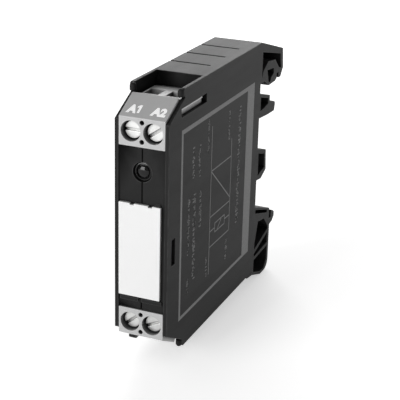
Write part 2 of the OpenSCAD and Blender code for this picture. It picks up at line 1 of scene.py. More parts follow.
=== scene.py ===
# Slim rail-mounted coupling relay: black two-part housing, two grey screw terminal blocks,
# a white marking plate, a lamp behind a dark window, and a small relay on a board inside.
# Lengths are millimetres in the row frame unless a comment says metres; at() gives metres.
import json
import math
import random

import bmesh
import bpy
from mathutils import Matrix, Vector


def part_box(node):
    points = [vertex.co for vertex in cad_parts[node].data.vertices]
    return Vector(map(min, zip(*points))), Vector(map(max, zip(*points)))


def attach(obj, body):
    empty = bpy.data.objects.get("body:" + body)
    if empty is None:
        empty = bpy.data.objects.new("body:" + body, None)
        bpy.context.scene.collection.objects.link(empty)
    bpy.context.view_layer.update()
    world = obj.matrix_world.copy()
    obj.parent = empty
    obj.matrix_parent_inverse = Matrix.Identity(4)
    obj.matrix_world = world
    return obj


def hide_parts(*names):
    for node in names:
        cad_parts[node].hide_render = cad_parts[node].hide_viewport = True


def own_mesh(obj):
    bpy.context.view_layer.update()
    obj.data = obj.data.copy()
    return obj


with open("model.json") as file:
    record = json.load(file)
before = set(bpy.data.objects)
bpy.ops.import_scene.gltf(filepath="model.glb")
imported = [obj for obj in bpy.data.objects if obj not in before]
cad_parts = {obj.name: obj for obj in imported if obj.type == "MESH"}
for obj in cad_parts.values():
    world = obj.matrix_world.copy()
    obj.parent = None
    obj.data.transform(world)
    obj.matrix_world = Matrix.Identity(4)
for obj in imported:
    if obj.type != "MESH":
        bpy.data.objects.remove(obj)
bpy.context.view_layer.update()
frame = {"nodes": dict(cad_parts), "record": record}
record = frame["record"]
slot_of_node = {part["node"]: part["material_slot"] for part in record["subparts"]}
body_of_node = {node: body for body, group in record["behaviour"]["bodies"].items() for node in group}

MM = 0.001


# Lowest and highest corner of a node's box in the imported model, in millimetres
def corners_of(node):
    return (Vector(corner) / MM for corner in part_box(node))


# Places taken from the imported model
HALF_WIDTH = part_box("right_shell")[1][0] / MM
HOUSING_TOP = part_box("right_shell")[1][2] / MM
PLATE_LOW, PLATE_HIGH = corners_of("marking_plate")
WINDOW_LOW, WINDOW_HIGH = corners_of("lamp_window")
LAMP_LOW, LAMP_HIGH = corners_of("lamp")
BOARD_LOW, BOARD_HIGH = corners_of("circuit_board")
WINDING_LOW, WINDING_HIGH = corners_of("coil_winding")
SPRING_LOW, SPRING_HIGH = corners_of("foot_spring")
FRONT_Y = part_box("upper_terminal_block")[0][1] / MM

# Slanted face of a terminal block, from its front edge to its top
SLANT_LOW = Vector((0, FRONT_Y, 22.2))
SLANT_HIGH = Vector((0, FRONT_Y + 5.8, 25.3))

# Thickness of printed ink, and the gap that keeps flat print clear of the surface
INK = 0.01
INK_GAP = 0.002


def at(x, y, z):
    return Vector((x, y, z)) * MM


# ---- Shared finishes ----

# A point of the surface in the piece's own coordinates, so that a finish rides with its piece
def own_place(tree):
    return tree.nodes.new("ShaderNodeTexCoord").outputs["Object"]


def start_group(name, inputs, outputs):
    tree = bpy.data.node_groups.new(name, "ShaderNodeTree")
    for label, kind, value in inputs:
        socket = tree.interface.new_socket(label, in_out="INPUT", socket_type=kind)
        socket.default_value = value
    for label, kind in outputs:
        tree.interface.new_socket(label, in_out="OUTPUT", socket_type=kind)
    return tree, tree.nodes.new("NodeGroupInput"), tree.nodes.new("NodeGroupOutput")


def noise_node(tree, coordinates, scale, detail, roughness=0.5):
    noise = tree.nodes.new("ShaderNodeTexNoise")
    noise.inputs["Scale"].default_value = scale
    noise.inputs["Detail"].default_value = detail
    noise.inputs["Roughness"].default_value = roughness
    tree.links.new(coordinates, noise.inputs["Vector"])
    return noise


def math_node(tree, operation, first, second):
    node = tree.nodes.new("ShaderNodeMath")
    node.operation = operation
    for socket, value in zip(node.inputs, (first, second)):
        if isinstance(value, bpy.types.NodeSocket):
            tree.links.new(value, socket)
        else:
            socket.default_value = value
    return node.outputs["Value"]


def range_node(tree, value, low, high, new_low=0.0, new_high=1.0):
    node = tree.nodes.new("ShaderNodeMapRange")
    node.inputs["From Min"].default_value = low
    node.inputs["From Max"].default_value = high
    node.inputs["To Min"].default_value = new_low
    node.inputs["To Max"].default_value = new_high
    tree.links.new(value, node.inputs["Value"])
    return node.outputs["Result"]


def mix_colour(tree, factor, first, second):
    node = tree.nodes.new("ShaderNodeMix")
    node.data_type = "RGBA"
    sockets = [socket for socket in node.inputs if socket.enabled]
    for socket, value in zip(sockets, (factor, first, second)):
        if isinstance(value, bpy.types.NodeSocket):
            tree.links.new(value, socket)
        else:
            socket.default_value = value
    return [socket for socket in node.outputs if socket.enabled][0]


# Fine eroded texture of a moulding tool, as a height
def moulded_grain():
    tree, inside, outside = start_group(
        "Moulded grain", [("Scale", "NodeSocketFloat", 2600.0)], [("Height", "NodeSocketFloat")])
    place = own_place(tree)
    fine = noise_node(tree, place, 2600.0, 3.0, 0.6)
    tree.links.new(inside.outputs["Scale"], fine.inputs["Scale"])
    coarse = noise_node(tree, place, 420.0, 2.0)
    blend = math_node(tree, "MULTIPLY", coarse.outputs["Fac"], 0.35)
    tree.links.new(math_node(tree, "ADD", fine.outputs["Fac"], blend), outside.inputs["Height"])
    return tree


# Slow change of tone over a surface, as a value around zero
def tone_drift():
    tree, inside, outside = start_group(
        "Tone drift", [("Scale", "NodeSocketFloat", 60.0), ("Amount", "NodeSocketFloat", 0.1)],
        [("Drift", "NodeSocketFloat"), ("Streaks", "NodeSocketFloat")])
    place = own_place(tree)
    slow = noise_node(tree, place, 60.0, 4.0, 0.55)
    tree.links.new(inside.outputs["Scale"], slow.inputs["Scale"])
    centred = math_node(tree, "SUBTRACT", slow.outputs["Fac"], 0.5)
    tree.links.new(math_node(tree, "MULTIPLY", centred, inside.outputs["Amount"]), outside.inputs["Drift"])
    stretch = tree.nodes.new("ShaderNodeMapping")
    stretch.inputs["Scale"].default_value = (1.0, 0.12, 1.0)
    tree.links.new(place, stretch.inputs["Vector"])
    flow = noise_node(tree, stretch.outputs["Vector"], 260.0, 3.0, 0.6)
    tree.links.new(range_node(tree, flow.outputs["Fac"], 0.45, 0.75), outside.inputs["Streaks"])
    return tree


# Worn edges with a painted highlight: the edge attribute of a worked piece, broken up by noise, marks where
# the colour is lightened as wear and as a painted highlight
def worn_and_highlit_edges():
    tree, inside, outside = start_group(
        "Worn edges and painted highlight", [("Amount", "NodeSocketFloat", 0.5)], [("Mask", "NodeSocketFloat")])
    edge = tree.nodes.new("ShaderNodeAttribute")
    edge.attribute_name = "edge"
    place = own_place(tree)
    broken = noise_node(tree, place, 500.0, 4.0, 0.7)
    share = range_node(tree, broken.outputs["Fac"], 0.35, 0.7, 0.35, 1.0)
    # Wear and painted highlight along the rounded corners
    worn_and_highlit = math_node(tree, "MULTIPLY", edge.outputs["Fac"], share)
    tree.links.new(math_node(tree, "MULTIPLY", worn_and_highlit, inside.outputs["Amount"]), outside.inputs["Mask"])
    return tree


# Dust on faces that look up
def settled_dust():
    tree, inside, outside = start_group(
        "Settled dust", [("Amount", "NodeSocketFloat", 0.1)], [("Mask", "NodeSocketFloat")])
    facing = tree.nodes.new("ShaderNodeSeparateXYZ")
    tree.links.new(tree.nodes.new("ShaderNodeNewGeometry").outputs["Normal"], facing.inputs["Vector"])
    up = range_node(tree, facing.outputs["Z"], 0.2, 1.0)
    place = own_place(tree)
    specks = noise_node(tree, place, 1500.0, 5.0, 0.75)
    cover = range_node(tree, specks.outputs["Fac"], 0.4, 0.8)
    lying = math_node(tree, "MULTIPLY", up, cover)
    tree.links.new(math_node(tree, "MULTIPLY", lying, inside.outputs["Amount"]), outside.inputs["Mask"])
    return tree


# Painted shade in slots, recesses and seams: ambient occlusion darkens the colour there; Reach is how far
# the painted shade reaches, in metres
def painted_corner_shade():
    tree, inside, outside = start_group(
        "Painted corner shade", [("Amount", "NodeSocketFloat", 0.5), ("Reach", "NodeSocketFloat", 0.0022)],
        [("Mask", "NodeSocketFloat")])
    closed = tree.nodes.new("ShaderNodeAmbientOcclusion")
    closed.samples = 8
    tree.links.new(inside.outputs["Reach"], closed.inputs["Distance"])
    # Painted shade mask: the colour darkens where ambient occlusion finds the surface closed in
    painted_shade = range_node(tree, closed.outputs["AO"], 0.85, 0.25)
    tree.links.new(math_node(tree, "MULTIPLY", painted_shade, inside.outputs["Amount"]), outside.inputs["Mask"])
    return tree


# Fine drawn lines on metal, along Z
def drawn_lines():
    tree, inside, outside = start_group(
        "Drawn lines", [("Scale", "NodeSocketFloat", 2500.0)],
        [("Height", "NodeSocketFloat"), ("Tone", "NodeSocketFloat")])
    place = own_place(tree)
    stretch = tree.nodes.new("ShaderNodeMapping")
    stretch.inputs["Scale"].default_value = (1.0, 1.0, 0.06)
    tree.links.new(place, stretch.inputs["Vector"])
    lines = noise_node(tree, stretch.outputs["Vector"], 2500.0, 4.0, 0.7)
    tree.links.new(inside.outputs["Scale"], lines.inputs["Scale"])
    tree.links.new(lines.outputs["Fac"], outside.inputs["Height"])
    cloud = noise_node(tree, place, 300.0, 3.0)
    tree.links.new(range_node(tree, cloud.outputs["Fac"], 0.35, 0.7), outside.inputs["Tone"])
    return tree


GRAIN = moulded_grain()
DRIFT = tone_drift()
EDGES = worn_and_highlit_edges()
DUST = settled_dust()
CORNER_SHADE = painted_corner_shade()
LINES = drawn_lines()


def place_group(material_tree, group, **values):
    node = material_tree.nodes.new("ShaderNodeGroup")
    node.node_tree = group
    for label, value in values.items():
        node.inputs[label].default_value = value
    return node


def start_material(name):
    material = bpy.data.materials.new(name)
    material.use_nodes = True
    return material, material.node_tree, material.node_tree.nodes["Principled BSDF"]


def add_bump(tree, shader, height, strength, distance):
    bump = tree.nodes.new("ShaderNodeBump")
    bump.inputs["Strength"].default_value = strength
    bump.inputs["Distance"].default_value = distance
    tree.links.new(height, bump.inputs["Height"])
    tree.links.new(bump.outputs["Normal"], shader.inputs["Normal"])


def grey(value):
    return (value, value, value, 1.0)


# The same colour made darker or lighter
def toned(colour, factor):
    return tuple(min(channel * factor, 1.0) for channel in colour[:3]) + (1.0,)


# Moulded plastic with worn corners lightened as wear and as a painted highlight, dust, and painted shade
# darkening its recesses; corner_reach is how far that shade reaches, in metres
def plastic(name, colour, roughness, specular=0.5, wear_and_highlight=0.4, wear_and_highlight_colour=grey(0.3), dust=0.05,
            drift=0.25, grain_scale=2600.0, grain_strength=0.25, corners=0.8, corner_reach=0.0022):
    material, tree, shader = start_material(name)
    shader.inputs["Specular IOR Level"].default_value = specular
    tone = place_group(tree, DRIFT, Scale=55.0, Amount=drift)
    factor = math_node(tree, "ADD", tone.outputs["Drift"], 0.5)
    base = mix_colour(tree, factor, toned(colour, 0.72), toned(colour, 1.28))
    # Rounded corners lightened: wear together with a painted highlight
    edges = place_group(tree, EDGES, Amount=wear_and_highlight)
    base = mix_colour(tree, edges.outputs["Mask"], base, wear_and_highlight_colour)
    dust_tone = grey(0.55)
    lying = place_group(tree, DUST, Amount=dust)
    base = mix_colour(tree, lying.outputs["Mask"], base, dust_tone)
    # Painted shade: recesses darkened towards a near-black copy of the colour
    painted_shade = place_group(tree, CORNER_SHADE, Amount=corners, Reach=corner_reach)
    base = mix_colour(tree, painted_shade.outputs["Mask"], base, toned(colour, 0.06))
    tree.links.new(base, shader.inputs["Base Color"])
    gloss = range_node(tree, tone.outputs["Streaks"], 0.0, 1.0, roughness, roughness + 0.05)
    dulled = math_node(tree, "ADD", gloss, lying.outputs["Mask"])
    tree.links.new(dulled, shader.inputs["Roughness"])
    grain = place_group(tree, GRAIN, Scale=grain_scale)
    add_bump(tree, shader, grain.outputs["Height"], grain_strength, 0.00003)
    return material


# Drawn metal with a patchy tarnish, corners made brighter as wear and as a painted highlight, and painted
# shade darkening its recesses
def metal(name, colour, roughness, tarnish, lines=2500.0, line_strength=0.2, wear_and_highlight=0.5, corners=0.7):
    material, tree, shader = start_material(name)
    shader.inputs["Metallic"].default_value = 1.0
    drawn = place_group(tree, LINES, Scale=lines)
    base = mix_colour(tree, drawn.outputs["Tone"], colour, tarnish)
    # Rounded corners made brighter: wear together with a painted highlight
    edges = place_group(tree, EDGES, Amount=wear_and_highlight)
    base = mix_colour(tree, edges.outputs["Mask"], base, toned(colour, 1.15))
    # Painted shade: recesses darkened towards a near-black copy of the colour
    painted_shade = place_group(tree, CORNER_SHADE, Amount=corners, Reach=0.0011)
    base = mix_colour(tree, painted_shade.outputs["Mask"], base, toned(colour, 0.08))
    tree.links.new(base, shader.inputs["Base Color"])
    rough = range_node(tree, drawn.outputs["Height"], 0.3, 0.7, roughness * 0.75, roughness * 1.3)
    tree.links.new(rough, shader.inputs["Roughness"])
    add_bump(tree, shader, drawn.outputs["Height"], line_strength, 0.00002)
    return material


# Printed ink with a broken, slightly thin lay-down, and an optional painted glow
def ink(name, colour, thin, strength, painted_glow=0.0):
    material, tree, shader = start_material(name)
    place = own_place(tree)
    lay = noise_node(tree, place, 2200.0, 4.0, 0.7)
    cover = range_node(tree, lay.outputs["Fac"], 0.3, 0.62, strength, 1.0)
    tree.links.new(mix_colour(tree, cover, thin, colour), shader.inputs["Base Color"])
    rough = range_node(tree, lay.outputs["Fac"], 0.2, 0.8, 0.5, 0.75)
    tree.links.new(rough, shader.inputs["Roughness"])
    shader.inputs["Specular IOR Level"].default_value = 0.3
    # Painted glow: the ink emits light in its own colour so the print looks brighter lit
    shader.inputs["Emission Color"].default_value = colour
    shader.inputs["Emission Strength"].default_value = painted_glow
    add_bump(tree, shader, lay.outputs["Fac"], 0.2, 0.00001)
    return material


# Smoked clear plastic of the lamp window
def smoked_lens():
    material, tree, shader = start_material("Smoked lens")
    place = own_place(tree)
    cloud = noise_node(tree, place, 700.0, 3.0)
    base = mix_colour(tree, cloud.outputs["Fac"], grey(0.002), grey(0.005))
    tree.links.new(base, shader.inputs["Base Color"])
    tree.links.new(range_node(tree, cloud.outputs["Fac"], 0.3, 0.7, 0.05, 0.09), shader.inputs["Roughness"])
    shader.inputs["Specular IOR Level"].default_value = 0.4
    add_bump(tree, shader, cloud.outputs["Fac"], 0.06, 0.00002)
    return material


# Lacquered carbon film body with four colour bands along Z
def banded_resistor():
    material, tree, shader = start_material("Banded resistor")
    place = own_place(tree)
    split = tree.nodes.new("ShaderNodeSeparateXYZ")
    tree.links.new(place, split.inputs["Vector"])
    half_length = 3.2 * MM
    along = range_node(tree, split.outputs["Z"], -half_length, half_length)
    ramp = tree.nodes.new("ShaderNodeValToRGB")
    ramp.color_ramp.interpolation = "CONSTANT"
    body = (0.56, 0.42, 0.24, 1.0)
    bands = [(0.16, (0.42, 0.08, 0.03, 1)), (0.25, body), (0.33, (0.02, 0.02, 0.02, 1)), (0.42, body),
             (0.50, (0.5, 0.1, 0.03, 1)), (0.59, body), (0.74, (0.5, 0.33, 0.06, 1)), (0.83, body)]
    ramp.color_ramp.elements[0].color = body
    ramp.color_ramp.elements[1].position = bands[0][0]
    ramp.color_ramp.elements[1].color = bands[0][1]
    for position, colour in bands[1:]:
        ramp.color_ramp.elements.new(position).color = colour
    tree.links.new(along, ramp.inputs["Fac"])
    lacquer = noise_node(tree, place, 900.0, 3.0)
    shade = mix_colour(tree, range_node(tree, lacquer.outputs["Fac"], 0.3, 0.8, 0.0, 0.3),
                       ramp.outputs["Color"], (0.25, 0.17, 0.1, 1.0))
    tree.links.new(shade, shader.inputs["Base Color"])
    tree.links.new(range_node(tree, lacquer.outputs["Fac"], 0.3, 0.7, 0.25, 0.4), shader.inputs["Roughness"])
    add_bump(tree, shader, lacquer.outputs["Fac"], 0.2, 0.00003)
    return material


# Woven glass laminate under green lacquer
def laminate():
    material, tree, shader = start_material("Green laminate")
    place = own_place(tree)
    weft = tree.nodes.new("ShaderNodeTexWave")
    weft.bands_direction = "Y"
    warp = tree.nodes.new("ShaderNodeTexWave")
    warp.bands_direction = "Z"
    for wave in (weft, warp):
        wave.inputs["Scale"].default_value = 420.0
        wave.inputs["Distortion"].default_value = 0.6
        tree.links.new(place, wave.inputs["Vector"])
    weave = math_node(tree, "MULTIPLY", weft.outputs["Fac"], warp.outputs["Fac"])
    base = mix_colour(tree, weave, (0.008, 0.07, 0.03, 1.0), (0.02, 0.13, 0.055, 1.0))
    tree.links.new(base, shader.inputs["Base Color"])
    cloud = noise_node(tree, place, 500.0, 3.0)
    tree.links.new(range_node(tree, cloud.outputs["Fac"], 0.3, 0.7, 0.22, 0.34), shader.inputs["Roughness"])
    add_bump(tree, shader, weave, 0.15, 0.00003)
    return material


# In these finishes, lighter colours on rounded corners are wear together with a painted highlight, and
# corners sets the painted shade in recesses
BLACK = plastic("Black housing", grey(0.016), 0.52, specular=0.12, wear_and_highlight=0.28, wear_and_highlight_colour=grey(0.2),
                dust=0.04, drift=0.5, grain_strength=0.3)
finishes = {
    "housing": BLACK,
    # Grey blocks: a strong, far-reaching painted shade darkens the wire funnels and screw recesses
    "terminal_grey": plastic("Grey terminal plastic", grey(0.47), 0.42, wear_and_highlight=0.5, wear_and_highlight_colour=grey(0.66),
                             dust=0.02, drift=0.3, grain_strength=0.25, corners=0.97, corner_reach=0.0046),
    "screw_plate": metal("Bright screw plating", (0.74, 0.74, 0.73, 1), 0.36, (0.6, 0.6, 0.59, 1),
                         corners=0.5),
    "cage_plate": metal("Passivated cage plating", (0.72, 0.69, 0.6, 1), 0.34, (0.58, 0.55, 0.47, 1)),
    "bar_tin": metal("Tinned brass", (0.77, 0.66, 0.43, 1), 0.3, (0.62, 0.55, 0.4, 1)),
    "marking_white": plastic("White marking plate", grey(0.84), 0.55, wear_and_highlight=0.3, wear_and_highlight_colour=grey(0.92),
                             dust=0.0, drift=0.08, grain_strength=0.15),
    "window_dark": smoked_lens(),
    "lamp_red": plastic("Red lamp body", (0.30, 0.015, 0.01, 1), 0.18, wear_and_highlight=0.2, dust=0.0,
                        wear_and_highlight_colour=(0.5, 0.06, 0.04, 1), grain_strength=0.05),
    "board_green": laminate(),
    "chip_black": plastic("Chip epoxy", grey(0.018), 0.5, wear_and_highlight=0.35, wear_and_highlight_colour=grey(0.09)),
    "capacitor_sleeve": plastic("Capacitor sleeve", (0.02, 0.045, 0.15, 1), 0.26, wear_and_highlight=0.2,
                                wear_and_highlight_colour=(0.1, 0.15, 0.3, 1), grain_strength=0.1),
    "resistor_body": banded_resistor(),
    "varistor_blue": plastic("Varistor coating", (0.02, 0.12, 0.38, 1), 0.3, wear_and_highlight=0.15,
                             wear_and_highlight_colour=(0.1, 0.25, 0.5, 1), grain_scale=900.0, grain_strength=0.5),
    "relay_black": plastic("Relay base plastic", grey(0.02), 0.4, wear_and_highlight=0.3, wear_and_highlight_colour=grey(0.14)),
    "bobbin_cream": plastic("Bobbin plastic", (0.72, 0.67, 0.54, 1), 0.4, wear_and_highlight=0.2,
                            wear_and_highlight_colour=(0.85, 0.8, 0.68, 1), drift=0.2),
    "winding_copper": metal("Enamelled copper wire", (0.72, 0.27, 0.1, 1), 0.25, (0.5, 0.16, 0.05, 1)),
    "core_iron": metal("Plated iron", (0.62, 0.63, 0.64, 1), 0.36, (0.48, 0.48, 0.48, 1)),
    "pin_tin": metal("Tinned pins", (0.78, 0.77, 0.74, 1), 0.3, (0.6, 0.59, 0.56, 1)),
    "spring_bronze": metal("Spring bronze", (0.75, 0.45, 0.22, 1), 0.28, (0.55, 0.3, 0.14, 1)),
    "contact_silver": metal("Contact silver", (0.88, 0.87, 0.84, 1), 0.2, (0.66, 0.63, 0.58, 1)),
    "spring_steel": metal("Spring steel", (0.5, 0.5, 0.51, 1), 0.3, (0.36, 0.35, 0.34, 1)),
}
SIDE_INK = ink("Side ink", grey(0.2), grey(0.06), 0.6)
# The terminal numbers carry a painted glow that brightens them
TERMINAL_INK = ink("Terminal ink", grey(1.0), grey(0.95), 0.8, painted_glow=0.15)
SOLDER = metal("Solder", (0.74, 0.74, 0.75, 1), 0.22, (0.55, 0.55, 0.56, 1))


# ---- Making pieces ----

# Turns a finished shape into a piece that rides on body; nodes are the CAD nodes it stands for
def add_bmesh(name, bm, finish, body, nodes=(), weighted=True):
    mesh = bpy.data.meshes.new(name)
    bm.to_mesh(mesh)
    bm.free()
    mesh.materials.append(finish)
    mesh.shade_smooth()
    mesh.set_sharp_from_angle(angle=math.radians(35))
    piece = bpy.data.objects.new(name, mesh)
    bpy.context.scene.collection.objects.link(piece)
    if weighted:
        even = piece.modifiers.new("Even shading", "WEIGHTED_NORMAL")
        even.keep_sharp = True
    if nodes:
        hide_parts(*nodes)
    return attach(piece, body)


# How far a face reaches from one of its edges
def reach(face, edge):
    start = edge.verts[0].co
    along = (edge.verts[1].co - start).normalized()
    return max((vert.co - start - along * (vert.co - start).dot(along)).length for vert in face.verts)


# Rounds the outer corners that have room for it, and marks the new faces, whose colour is lightened as wear
# and as a painted highlight.
# The width is in metres. With seam, corners at the joint between the halves stay sharp.
def round_edges(bm, width, seam=False):
    mark = bm.faces.layers.float.new("edge")
    sharp = math.radians(28)
    room = 2.4 * width
    seam_reach = 0.2 * MM
    chosen = []
    for edge in bm.edges:
        if len(edge.link_faces) != 2 or edge.calc_face_angle(0) < sharp:
            continue
        if not edge.is_convex or min(reach(face, edge) for face in edge.link_faces) < room:
            continue
        if seam and max(abs(vert.co.x) for vert in edge.verts) < seam_reach:
            continue
        chosen.append(edge)
    made = bmesh.ops.bevel(bm, geom=chosen, offset=width, offset_type="OFFSET", affect="EDGES",
                           segments=3, profile=0.5, clamp_overlap=False, material=-1)
    for face in made["faces"]:
        face[mark] = 1.0


# A copy of a CAD node as one clean mesh
def clean_copy(node):
    bm = bmesh.new()
    bm.from_mesh(frame["nodes"][node].data)
    bmesh.ops.remove_doubles(bm, verts=bm.verts, dist=0.002 * MM)
    bmesh.ops.dissolve_limit(bm, angle_limit=math.radians(0.8), verts=bm.verts, edges=bm.edges)
    return bm


# A node's shape with its corners rounded, which stands for the node; the width is in millimetres
def worked_copy(node, name, width, seam=False):
    bm = clean_copy(node)
    round_edges(bm, width * MM, seam=seam)
    slot = slot_of_node[node]
    return add_bmesh(name, bm, finishes[slot], body_of_node[node], (node,))


# Adds a box between two corners in millimetres, and returns its points
def add_box(bm, low, high):
    size = Vector(high) - Vector(low)
    middle = (Vector(high) + Vector(low)) / 2
    place = Matrix.Translation(middle * MM) @ Matrix.Diagonal((*(size * MM), 1.0))
    return bmesh.ops.create_cube(bm, size=1.0, matrix=place)["verts"]


# Turns a profile of (radius, height) points about an axis through centre, all in millimetres
def add_turned(bm, profile, centre, axis, steps=48):
    axis = Vector(axis)
    side = axis.orthogonal().normalized()
    verts = [bm.verts.new(at(*centre) + (side * radius + axis * height) * MM) for radius, height in profile]
    edges = [bm.edges.new(pair) for pair in zip(verts, verts[1:])]
    bmesh.ops.spin(bm, geom=verts + edges, cent=at(*centre), axis=axis, angle=math.tau, steps=steps,
                   use_merge=True, use_duplicate=False)


# Joins the open seams of a turned shape and points its faces outwards
def close_up(bm):
    bmesh.ops.remove_doubles(bm, verts=bm.verts, dist=0.001 * MM)
    bmesh.ops.recalc_face_normals(bm, faces=bm.faces)


# ---- Housing ----

worked_copy("left_shell", "left_half", 0.12, seam=True)
worked_copy("right_shell", "right_half", 0.12, seam=True)


# Rolled end of a side wall beside a wire trough, at this depth behind the terminal block's front.
# side is 1 for the right wall or -1 for the left; end is 1 for the upper trough or -1 for the lower.
def wall_end(name, side, end, depth):
    bm = bmesh.new()
    radius = 0.64
    inset = 0.04
    chamfer = 0.15
    x = side * (HALF_WIDTH - radius - inset)
    low = 25.35
    high = HOUSING_TOP - inset
    dome = [(radius * math.cos(angle), high - radius + radius * math.sin(angle))
            for angle in (0.0, 0.4, 0.8, 1.2, 1.571)]
    profile = [(0, low), (radius - chamfer, low), (radius, low + chamfer)] + dome
    add_turned(bm, profile, (x, FRONT_Y + depth, 0), (0, 0, end), 24)
    close_up(bm)
    add_bmesh(name, bm, BLACK, "housing")


wall_end("upper_left_wall_end", -1, 1, 6.4)
wall_end("upper_right_wall_end", 1, 1, 6.4)
wall_end("lower_left_wall_end", -1, -1, 7.7)
wall_end("lower_right_wall_end", 1, -1, 7.7)


# Nib under the lower block that a screwdriver lifts to take the block out
def release_nib():
    bm = bmesh.new()
    low = (-3.1, -58.0, -23.6)
    high = (-1.3, -56.6, -22.6)
    add_box(bm, low, high)
    round_edges(bm, 0.3 * MM)
    add_bmesh("release_nib", bm, BLACK, "housing")


release_nib()


# Rings left by the ejector pins on the unprinted side
def ejector_marks():
    bm = bmesh.new()
    inner, outer, height = 1.25, 1.38, 0.012
    profile = [(inner, 0), (inner, height), (outer, height), (outer, 0)]
    for y, z in ((-49, 15), (-49, -15), (-18, 20), (-18, -20), (-34, 0)):
        add_turned(bm, profile, (-HALF_WIDTH, y, z), (-1, 0, 0), 40)
    close_up(bm)
    add_bmesh("ejector_marks", bm, BLACK, "housing")


ejector_marks()


# ---- Print on the side ----

# Straight printed line on the right side, from one (y, z) point to another
def stroke(bm, start, end, width):
    start = Vector((0, *start))
    end = Vector((0, *end))
    run = end - start
    middle = (start + end) / 2 + Vector((HALF_WIDTH + INK / 2, 0, 0))
    turn = Matrix.Rotation(math.atan2(run.z, run.y), 4, "X")
    size = Matrix.Diagonal((INK * MM, run.length * MM, width * MM, 1.0))
    bmesh.ops.create_cube(bm, size=1.0, matrix=Matrix.Translation(middle * MM) @ turn @ size)


# Gives flat faces a thickness
def thicken(bm, faces, lift):
    raised = bmesh.ops.extrude_face_region(bm, geom=faces)
    lifted = [part for part in raised["geom"] if isinstance(part, bmesh.types.BMVert)]
    bmesh.ops.translate(bm, verts=lifted, vec=lift)


# Border of the printed field, wider at the rear
def side_border():
    bm = bmesh.new()
    rings = []
    outer = (-53.4, -14.5, -20.4, 19.1)
    inner = (-52.6, -18.6, -19.7, 18.2)
    for low_y, high_y, low_z, high_z in (outer, inner):
        corners = ((low_y, low_z), (high_y, low_z), (high_y, high_z), (low_y, high_z))
        verts = [bm.verts.new(at(HALF_WIDTH + INK_GAP, y, z)) for y, z in corners]
        rings.append([bm.edges.new((verts[i], verts[(i + 1) % 4])) for i in range(4)])
    made = bmesh.ops.bridge_loops(bm, edges=rings[0] + rings[1])
    thicken(bm, made["faces"], (INK * MM, 0, 0))
    close_up(bm)
    add_bmesh("side_border", bm, SIDE_INK, "housing", weighted=False)


# Plain circuit drawing: a box with a slash over a box with a load, and their leads
def side_drawing():
    bm = bmesh.new()
    left, right = -38.2, -27.2
    top, middle, bottom = 6.3, -3.7, -10.4
    line = 0.24
    load_left, load_right = -35.4, -30.0
    load_top, load_bottom = -5.9, -7.9
    load_middle = (load_top + load_bottom) / 2
    lines = [((left, bottom), (left, 15.8)), ((right, bottom), (right, 10.2)),
             ((left, top), (right, top)), ((left, middle), (right, middle)),
             ((left, bottom), (right, bottom)), ((left, top), (right, middle + 0.8)),
             ((left, bottom), (left, -16.4)), ((load_left, load_bottom), (load_right, load_bottom)),
             ((load_left, load_top), (load_right, load_top)),
             ((load_left, load_bottom), (load_left, load_top)),
             ((load_right, load_bottom), (load_right, load_top)),
             ((-34.2, load_bottom), (-31.6, load_top)),
             ((left, load_middle), (load_left, load_middle)),
             ((load_right, load_middle), (right, load_middle))]
    for start, end in lines:
        stroke(bm, start, end, line)
    add_bmesh("side_drawing", bm, SIDE_INK, "housing", weighted=False)


# Columns of small plain marks where a maker would print its data
def side_marks():
    bm = bmesh.new()
    dice = random.Random(11)
    # Each column's middle, top, bottom and width
    columns = [(-47.4, 14.0, 7.6, 1.3), (-44.4, 13.6, 7.0, 1.2), (-49.3, 4.4, -7.6, 1.1),
               (-49.3, -13.0, -16.0, 1.0), (-46.6, 4.2, -14.6, 1.5), (-43.5, 3.8, -4.2, 1.2),
               (-40.0, 17.6, 10.8, 0.9), (-28.9, 16.4, 10.4, 1.0), (-22.8, 15.8, -10.6, 1.5),
               (-28.6, -12.2, -16.6, 1.1), (-39.6, -12.0, -16.6, 0.9)]
    line = 0.25
    steps = (0.34, 0.34, 0.34, 0.75)
    for centre, top, bottom, width in columns:
        z = top
        while z > bottom:
            for _ in range(dice.choice((1, 2, 3))):
                y = centre + dice.uniform(-0.34, 0.34) * width
                length = dice.uniform(0.25, 0.6) * width
                if dice.random() < 0.6:
                    stroke(bm, (y - length / 2, z), (y + length / 2, z), line)
                else:
                    stroke(bm, (y, z - length / 4), (y, z + length / 4), line)
            z -= dice.choice(steps)
    add_bmesh("side_marks", bm, SIDE_INK, "housing", weighted=False)


side_border()
side_drawing()
side_marks()


# ---- Terminal blocks ----

worked_copy("upper_terminal_block", "upper_block", 0.12)
worked_copy("lower_terminal_block", "lower_block", 0.12)


# One printed character as a mesh, in millimetres, standing on its baseline
def character(sign):
    if sign == "1":
        bm = bmesh.new()
        outline = [(-0.12, 0), (0.34, 0), (0.34, 2.1), (-0.02, 2.1), (-0.5, 1.72), (-0.5, 1.3),
                   (-0.12, 1.5)]
        face = bm.faces.new([bm.verts.new((x, y, -INK / 2)) for x, y in outline])
        thicken(bm, [face], (0, 0, INK))
        bmesh.ops.recalc_face_normals(bm, faces=bm.faces)
        mesh = bpy.data.meshes.new("one")
        bm.to_mesh(mesh)
        bm.free()
        return mesh
    curve = bpy.data.curves.new("sign", "FONT")
    curve.body = sign
    curve.align_x = "CENTER"
    curve.size = 2.75
    curve.offset = 0.17
    curve.extrude = INK / 2
    holder = bpy.data.objects.new("sign", curve)
    bpy.context.scene.collection.objects.link(holder)
    bpy.context.view_layer.update()
    mesh = bpy.data.meshes.new_from_object(holder)
    bpy.data.objects.remove(holder)
    mesh.transform(Matrix.Diagonal((0.86, 1.0, 1.0, 1.0)))
    return mesh


